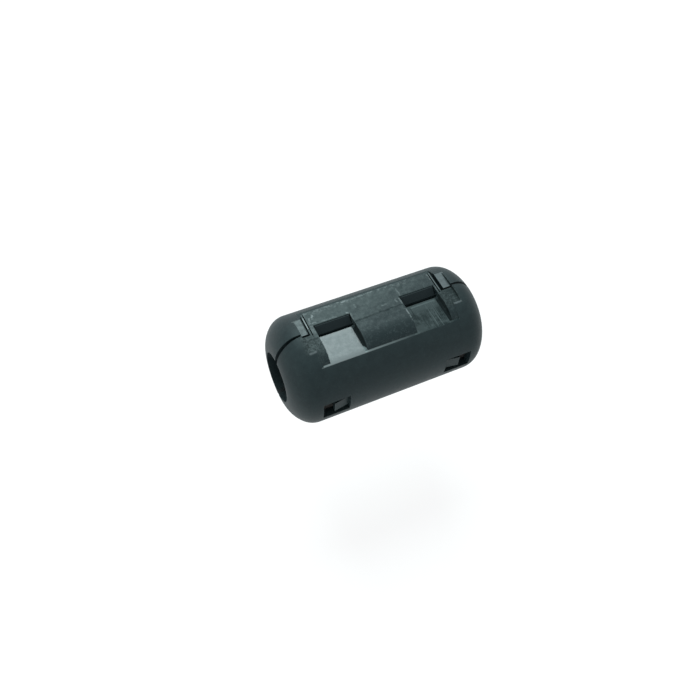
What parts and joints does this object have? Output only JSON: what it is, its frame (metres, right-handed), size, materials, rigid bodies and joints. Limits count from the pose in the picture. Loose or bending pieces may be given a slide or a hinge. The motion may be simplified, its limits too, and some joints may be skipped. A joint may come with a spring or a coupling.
{
  "type": "clip-on ferrite bead",
  "caption": "Round clamshell case with a snap latch and a living hinge, holding ferrite half cores round a cable.",
  "frame": {"origin": "centre of the cable hole, midway along the bead", "axes": "+X along the cable hole, +Z towards the snap latch on top, -Y towards the half that swings open; the halves part on the XZ plane"},
  "size_m": [0.0376, 0.0194, 0.0205],
  "materials": {
    "case_plastic": "satin",
    "ferrite": "matte"
  },
  "bodies": {
    "back_half": {"back_shell": "case_plastic", "core_back": "ferrite", "hinge_web_left": "case_plastic", "hinge_web_right": "case_plastic"},
    "front_half": {"front_shell": "case_plastic", "core_front": "ferrite"}
  },
  "joints": [
    {"name": "opening", "type": "hinge", "parent": "back_half", "child": "front_half", "pos_m": [0, 0, -0.01085], "axis": [1, 0, 0], "range_deg": [0, 180], "deforming": ["hinge_web_left", "hinge_web_right"]}
  ]
}
